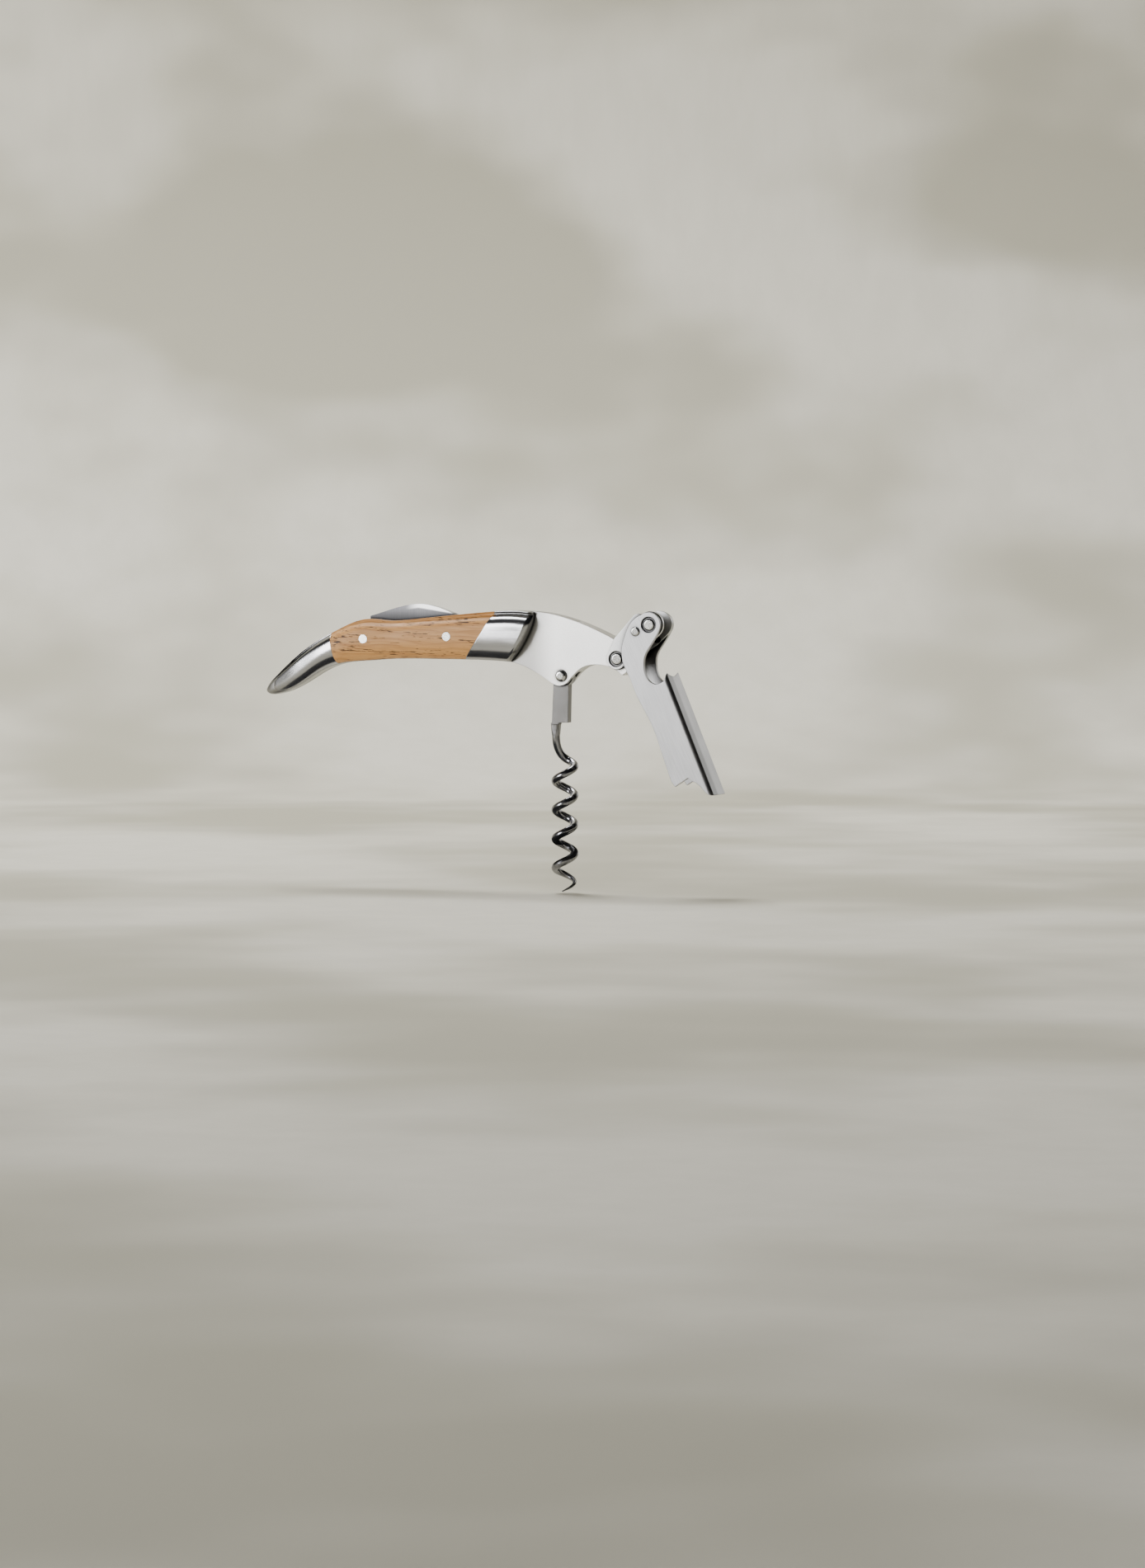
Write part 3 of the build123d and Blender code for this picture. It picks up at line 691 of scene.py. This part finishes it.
@dataclass
class WormWire:
    """The worm's wire: a straight lead, a bend, then a grooved right-handed helix.

    Attributes:
        wire_radius: Radius of the wire, metres.
        helix_radius: Axis to the wire's centre, metres.
        pitch: Rise per turn, metres.
        helix_top: Height where the wire has come round to the back, metres.
        lead_top: Height where the drawn wire starts, square like the shank, metres.
        lead_end: Height where the lead starts to bend, metres.
        overlap: How far the shank reaches into the lead, metres.
        taper: Height over which the wire narrows to its tip, metres.
        tip_radius: Radius of the tip, metres.
        groove: Depth of the groove on the outside, as a share of the wire's radius.
        groove_width: Half width of the groove, radians round the wire.
        groove_fall: How sharply the groove's sides fall.
        groove_start: Point of the lead at which the groove starts.
        groove_rise: Points over which it reaches its full depth.
        squareness: How square the lead is at its top, where 0 is round.
        swell: How far the lead's top stands proud of the wire, as a share of its radius.
        bend_pull: How far the lead keeps straight on in the bend, as a share of the bend's span.
        lead_steps: Points along the straight lead.
        bend_steps: Points along the bend.
        steps: Points along each turn of the helix.
        sides: Points round the wire.
        weld: Distance at which the shank's loose corners are merged, metres.
        nudge: Drop along the helix that gives its direction, metres.
        crease: Angle above which an edge stays sharp, degrees.
    """

    wire_radius: float = 1.3 * MM
    helix_radius: float = 3.1 * MM
    pitch: float = 9.4 * MM
    helix_top: float = 42.4 * MM
    lead_top: float = 54.7 * MM
    lead_end: float = 50.5 * MM
    overlap: float = 0.5 * MM
    taper: float = 6.5 * MM
    tip_radius: float = 0.2 * MM
    groove: float = 0.26
    groove_width: float = 0.42
    groove_fall: float = 2.0
    groove_start: int = 18
    groove_rise: int = 18
    squareness: float = 7.0
    swell: float = 0.075
    bend_pull: float = 1.4
    lead_steps: int = 12
    bend_steps: int = 24
    steps: int = 40
    sides: int = 36
    weld: float = 1e-7
    nudge: float = 1e-6
    crease: float = 35.0

    def helix_point(self, drop: float) -> Vector:
        """Gives the wire's centre where the helix has dropped this far.

        Args:
            drop: Height below the helix's top, metres.

        Returns:
            The point, metres.
        """
        turn = math.pi / 2 - drop * 2 * math.pi / self.pitch
        return Vector((
            self.helix_radius * math.cos(turn), self.helix_radius * math.sin(turn), self.helix_top - drop
        ))

    def lead(self) -> tuple[list[Vector], list[float]]:
        """Lays out the centre line of the lead and the bend, down to where the helix starts.

        Returns:
            Points, and how deep the groove is at each.
        """
        elbow = Vector((-self.helix_radius, 0, self.lead_end))
        start = self.helix_point(0.0)
        run = (self.helix_point(self.nudge) - start).normalized()
        span = (start - elbow).length
        top = Vector((-self.helix_radius, 0, self.lead_top))
        points = [top.lerp(elbow, step / self.lead_steps) for step in range(self.lead_steps + 1)]
        for step in range(1, self.bend_steps):
            t = step / self.bend_steps
            h = (2 * t**3 - 3 * t**2 + 1, t**3 - 2 * t**2 + t, 3 * t**2 - 2 * t**3, t**3 - t**2)
            down = Vector((0, 0, -1)) * (self.bend_pull * span * h[1])
            points.append(elbow * h[0] + down + start * h[2] + run * (span * h[3]))
        points.append(start)
        grooves = [
            min(1.0, max(0.0, (i - self.groove_start) / self.groove_rise)) for i in range(len(points))]
        return points, grooves

    def lead_mesh(self) -> bpy.types.Mesh:
        """Sweeps the lead and the bend: square at the top, round and grooved where the helix starts.

        Returns:
            The closed mesh.
        """
        points, grooves = self.lead()
        centres = np.array([tuple(p) for p in points])
        runs = np.gradient(centres, axis=0)
        runs[-1] = np.array(self.helix_point(self.nudge) - self.helix_point(0.0))
        runs /= np.linalg.norm(runs, axis=1)[:, None]
        vertices, faces = [], []
        for i, (centre, run) in enumerate(zip(centres, runs)):
            outward = np.array([centre[0], centre[1], 0.0])
            outward -= run * (outward @ run)
            outward /= np.linalg.norm(outward)
            other = np.cross(run, outward)
            square = max(0.0, 1 - i / self.lead_steps)
            power = 2 + self.squareness * square
            for side in range(self.sides):
                turn = 2 * math.pi * side / self.sides
                away = min(turn, 2 * math.pi - turn)
                fall = math.exp(-((away / self.groove_width) ** 2) * self.groove_fall)
                dip = self.groove * grooves[i] * fall
                fullness = (abs(math.cos(turn)) ** power + abs(math.sin(turn)) ** power) ** (-1 / power)
                reach = self.wire_radius * (1 - dip) * fullness * (1 + self.swell * square)
                vertices.append(tuple(centre + reach * (math.cos(turn) * outward + math.sin(turn) * other)))
        rings = len(points)
        for i in range(rings - 1):
            for side in range(self.sides):
                a, b = i * self.sides + side, i * self.sides + (side + 1) % self.sides
                faces.append((a, b, b + self.sides, a + self.sides))
        faces.append(tuple(reversed(range(self.sides))))
        faces.append(tuple((rings - 1) * self.sides + side for side in range(self.sides)))
        mesh = bpy.data.meshes.new("worm_wire")
        mesh.from_pydata(vertices, [], faces)
        return mesh

    def coil_tree(self) -> tuple[bpy.types.NodeTree, dict[str, str]]:
        """Makes the node group that lays the helix, grooves its outside and narrows its tip.

        Returns:
            The geometry node group, and input name to socket identifier.
        """
        tree = bpy.data.node_groups.new("grooved_coil", "GeometryNodeTree")
        face = tree.interface
        face.new_socket("Geometry", in_out="INPUT", socket_type="NodeSocketGeometry")
        names = {}
        for name, kind in (
            ("Wire Radius", "Float"), ("Helix Radius", "Float"), ("Pitch", "Float"), ("Length", "Float"),
            ("Taper", "Float"), ("Tip Radius", "Float"), ("Groove Depth", "Float"),
            ("Groove Width", "Float"), ("Groove Fall", "Float"), ("Points", "Int"), ("Sides", "Int"),
            ("Finish", "Material"),
        ):
            made = face.new_socket(name, in_out="INPUT", socket_type="NodeSocket" + kind)
            names[name] = made.identifier
        face.new_socket("Geometry", in_out="OUTPUT", socket_type="NodeSocketGeometry")
        sheet = Sheet(tree)
        given = sheet.add("NodeGroupInput").node.outputs

        # The helix, with its lower end at the tip and its upper end at the back.
        turns = sheet.add(MATH, (given["Length"], given["Pitch"]), operation="DIVIDE")
        spiral = sheet.add("GeometryNodeCurveSpiral", {
            "Resolution": given["Points"], "Rotations": turns, "Height": given["Length"],
            "Start Radius": given["Helix Radius"], "End Radius": given["Helix Radius"], "Reverse": True})
        angle = sheet.add(MATH, (turns, 2 * math.pi), operation="MULTIPLY")
        angle = sheet.add(MATH, (math.pi / 2, angle), operation="SUBTRACT")
        placed = sheet.add("GeometryNodeTransform", {
            "Geometry": spiral,
            "Translation": sheet.add("ShaderNodeCombineXYZ", {2: given["Tip Radius"]}),
            "Rotation": sheet.add("ShaderNodeCombineXYZ", {2: angle})})
        level = sheet.add("GeometryNodeSetCurveNormal", {"Curve": placed})

        # The wire's thickness along the helix, narrowing to the tip.
        rise = sheet.add(SPLIT, (sheet.add("GeometryNodeInputPosition"),)).node.outputs[2]
        height = sheet.add(MATH, (rise, given["Tip Radius"]), operation="SUBTRACT")
        share = sheet.add(MATH, (height, given["Taper"]), operation="DIVIDE", use_clamp=True)
        least = sheet.add(MATH, (given["Tip Radius"], given["Wire Radius"]), operation="DIVIDE")
        rest = sheet.add(MATH, (1.0, least), operation="SUBTRACT")
        scale = sheet.add(MATH, (share, rest), operation="MULTIPLY")
        scale = sheet.add(MATH, (least, scale), operation="ADD")

        # The wire's outline, pressed in where it faces outwards.
        ring = sheet.add("GeometryNodeCurvePrimitiveCircle", {
            "Resolution": given["Sides"], "Radius": given["Wire Radius"]})
        spot = sheet.add("GeometryNodeInputPosition")
        parts = sheet.add(SPLIT, (spot,)).node.outputs
        round_wire = sheet.add(MATH, (parts[1], parts[0]), operation="ARCTAN2")
        across = sheet.add(MATH, (round_wire, given["Groove Width"]), operation="DIVIDE")
        squared = sheet.add(MATH, (across, 2.0), operation="POWER")
        sharp = sheet.add(MATH, (given["Groove Fall"], -1.0), operation="MULTIPLY")
        fall = sheet.add(MATH, (squared, sharp), operation="MULTIPLY")
        fall = sheet.add(MATH, (fall,), operation="EXPONENT")
        dip = sheet.add(MATH, (fall, given["Groove Depth"]), operation="MULTIPLY")
        dip = sheet.add(MATH, (dip, -1.0), operation="MULTIPLY")
        inwards = sheet.add("ShaderNodeVectorMath", {0: spot, "Scale": dip}, operation="SCALE")
        grooved = sheet.add("GeometryNodeSetPosition", {"Geometry": ring, "Offset": inwards})

        swept = sheet.add("GeometryNodeCurveToMesh", {
            "Curve": level, "Profile Curve": grooved, "Scale": scale, "Fill Caps": True})
        smooth = sheet.add("GeometryNodeSetShadeSmooth", {"Geometry": swept})
        real = sheet.add("GeometryNodeRealizeInstances", {"Geometry": smooth})
        done = sheet.add("GeometryNodeSetMaterial", {"Geometry": real, "Material": given["Finish"]})
        sheet.add("NodeGroupOutput", (done,))
        return tree, names

    def coil(self, material: bpy.types.Material) -> bpy.types.Mesh:
        """Runs the coil's node group once.

        Args:
            material: Finish of the wire.

        Returns:
            The helix as a plain mesh.
        """
        carrier = bpy.data.objects.new("coil", bpy.data.meshes.new("coil"))
        bpy.context.scene.collection.objects.link(carrier)
        tree, names = self.coil_tree()
        modifier = carrier.modifiers.new("coil", "NODES")
        modifier.node_group = tree
        for name, value in {
            "Wire Radius": self.wire_radius, "Helix Radius": self.helix_radius, "Pitch": self.pitch,
            "Length": self.helix_top - self.tip_radius, "Taper": self.taper,
            "Tip Radius": self.tip_radius, "Groove Depth": self.groove,
            "Groove Width": self.groove_width, "Groove Fall": self.groove_fall,
            "Points": self.steps, "Sides": self.sides, "Finish": material,
        }.items():
            modifier[names[name]] = value
        view = bpy.context.evaluated_depsgraph_get()
        mesh = bpy.data.meshes.new_from_object(carrier.evaluated_get(view))
        bpy.data.objects.remove(carrier)
        return mesh

    def build(self, shank: bpy.types.Object, material: bpy.types.Material) -> bpy.types.Object:
        """Joins the wire to the flat shank, which is kept from the CAD node.

        Args:
            shank: The CAD worm.
            material: Finish of the whole worm.

        Returns:
            The finished worm.
        """
        made = bmesh.new()
        made.from_mesh(shank.data)
        bmesh.ops.remove_doubles(made, verts=made.verts, dist=self.weld)
        everything = list(made.verts) + list(made.edges) + list(made.faces)
        bmesh.ops.bisect_plane(
            made, geom=everything, plane_co=(0, 0, self.lead_top - self.overlap),
            plane_no=(0, 0, -1), clear_outer=True)
        bmesh.ops.holes_fill(made, edges=[edge for edge in made.edges if edge.is_boundary])
        mesh = self.lead_mesh()
        made.from_mesh(mesh)
        made.from_mesh(self.coil(material))
        bmesh.ops.recalc_face_normals(made, faces=made.faces)
        made.to_mesh(mesh)
        made.free()
        if "custom_normal" in mesh.attributes:
            mesh.attributes.remove(mesh.attributes["custom_normal"])
        for polygon in mesh.polygons:
            polygon.use_smooth = True
        mesh.set_sharp_from_angle(angle=math.radians(self.crease))
        mesh.materials.append(material)
        worm = bpy.data.objects.new("worm_drawn", mesh)
        bpy.context.scene.collection.objects.link(worm)
        log.info("worm: worm_drawn in %s, %d faces", material.name, len(mesh.polygons))
        return worm


# --------------------------------------------------------------------------------------
# Studio
# --------------------------------------------------------------------------------------


@dataclass(frozen=True)
class Lamp:
    """A soft round area light.

    Attributes:
        name: Light name.
        place: Position, metres.
        target: Point it faces, metres.
        size: Diameter, metres.
        power: Watts.
    """

    name: str
    place: Triple
    target: Triple
    size: float
    power: float

    def build(self) -> None:
        """Adds the light, which the camera doesn't see."""
        data = bpy.data.lights.new(self.name, "AREA")
        data.shape = "DISK"
        data.size = self.size
        data.energy = self.power
        made = bpy.data.objects.new(self.name, data)
        made.location = self.place
        facing = Vector(self.target) - Vector(self.place)
        made.rotation_euler = facing.to_track_quat("-Z", "Y").to_euler()
        made.visible_camera = False
        bpy.context.scene.collection.objects.link(made)


@dataclass
class Studio:
    """Camera, plain pale floor and backdrop, and soft light from the upper left.

    Attributes:
        camera_at: Camera position, metres.
        camera_turn: Camera rotation, degrees.
        lens: Focal length, millimetres.
        lamps: The area lights.
        floor: Height of the floor, metres.
        floor_run: Where the floor starts and ends, along the view, metres.
        sweep: Radius of the bend between floor and wall, metres.
        sweep_steps: Points along the bend.
        wall_top: Height of the wall, metres.
        half_width: Half width of the sheet, metres.
        card: Lower and upper corner of the dark card, seen from above, metres.
        card_height: Height of the card, metres.
    """

    camera_at: Triple = (0.5793, -1.4337, 0.1159)
    camera_turn: Triple = (87.0, 0.0, 21.911)
    lens: float = 109.8
    lamps: tuple[Lamp, ...] = (
        Lamp("key", (-1.0, -1.45, 0.42), (0.0, 0.0, 0.075), 0.9, 30.0),
        Lamp("top", (-0.5, 0.35, 1.5), (0.0, 0.4, 0.0), 0.7, 30.0),
        Lamp("rim", (0.30, 0.70, 0.28), (0.04, 0.0, 0.06), 0.35, 0.45),
    )
    floor: float = -0.0006
    floor_run: tuple[float, float] = (-1.6, 0.55)
    sweep: float = 0.35
    sweep_steps: int = 12
    wall_top: float = 2.4
    half_width: float = 3.0
    card: tuple[float, float, float, float] = (-0.13, -0.07, 0.01, 0.01)
    card_height: float = 0.015

    def camera(self) -> None:
        """Adds the camera and makes it the scene's own."""
        data = bpy.data.cameras.new("camera")
        data.lens = self.lens
        data.sensor_width = 36.0
        data.clip_start = 0.01
        made = bpy.data.objects.new("camera", data)
        made.location = self.camera_at
        made.rotation_euler = tuple(math.radians(a) for a in self.camera_turn)
        bpy.context.scene.collection.objects.link(made)
        bpy.context.scene.camera = made

    def world(self) -> None:
        """Lights the room evenly: pale low down, darker overhead and to the right."""
        world = bpy.data.worlds.new("room")
        bpy.context.scene.world = world
        world.use_nodes = True
        sheet = Sheet(world.node_tree)
        direction = sheet.add("ShaderNodeTexCoord").node.outputs["Generated"]
        parts = sheet.add(SPLIT, (direction,)).node.outputs
        overhead = sheet.add(RANGE, (parts["Z"], 0.10, 0.55), **SMOOTH)
        right = sheet.add(RANGE, (parts["X"], 0.15, 0.60), **SMOOTH)
        shade = sheet.add(MIX, {0: overhead, 6: srgb("C9C8C4"), 7: srgb("3A3A3B")}, **COLOUR)
        shade = sheet.add(MIX, {0: right, 6: shade, 7: srgb("2C2C2E")}, **COLOUR)
        back = sheet.add("ShaderNodeBackground", {"Color": shade, "Strength": 0.6})
        sheet.add("ShaderNodeOutputWorld", {"Surface": back})

    def room(self) -> None:
        """Adds the floor and the backdrop as one swept sheet, square to the camera."""
        turn = math.radians(self.camera_turn[2])
        away = Vector((-math.sin(turn), math.cos(turn), 0))
        across = Vector((math.cos(turn), math.sin(turn), 0))
        start, end = self.floor_run
        profile = [(start, self.floor), (end, self.floor)]
        for step in range(1, self.sweep_steps + 1):
            bend = math.pi / 2 * step / self.sweep_steps
            rise = self.floor + self.sweep * (1 - math.cos(bend))
            profile.append((end + self.sweep * math.sin(bend), rise))
        profile.append((end + self.sweep, self.wall_top))
        vertices, faces = [], []
        for along, height in profile:
            for reach in (-self.half_width, self.half_width):
                spot = away * along + across * reach
                vertices.append((spot.x, spot.y, height))
        for i in range(len(profile) - 1):
            faces.append((2 * i, 2 * i + 1, 2 * i + 3, 2 * i + 2))
        mesh = bpy.data.meshes.new("backdrop")
        mesh.from_pydata(vertices, [], faces)
        for polygon in mesh.polygons:
            polygon.use_smooth = True
        mesh.materials.append(PlasterFinish("backdrop", "DAD6C8", "B0AC9A").build())
        made = bpy.data.objects.new("backdrop", mesh)
        bpy.context.scene.collection.objects.link(made)

    def flag(self) -> None:
        """Adds a dark card under the handle, which only shows in the polished steel as a painted dark
        reflection.
        """
        left, front, right, back = self.card
        corners = ((left, front), (right, front), (right, back), (left, back))
        mesh = bpy.data.meshes.new("flag")
        mesh.from_pydata([(x, y, self.card_height) for x, y in corners], [], [(0, 1, 2, 3)])
        mesh.materials.append(PlasterFinish("flag", "3C3C3D", "303031").build())
        made = bpy.data.objects.new("flag", mesh)
        made.visible_camera = False
        made.visible_shadow = False
        made.visible_diffuse = False
        bpy.context.scene.collection.objects.link(made)

    def build(self) -> None:
        """Sets up everything round the object."""
        self.camera()
        for lamp in self.lamps:
            lamp.build()
        self.world()
        self.room()
        self.flag()


def main() -> None:
    """Builds the corkscrew's looks on its frame and the studio round it."""
    logging.basicConfig(level=logging.INFO)
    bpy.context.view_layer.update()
    made = {finish.name: finish.build() for finish in FINISHES}
    for group in SUB_ASSEMBLIES:
        group.dress(frame["nodes"], made)
    worm = WormWire().build(frame["nodes"]["worm"], made["worm_steel"])
    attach(worm, "worm")
    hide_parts("worm")
    Studio().build()


if __name__ == "__main__":
    main()
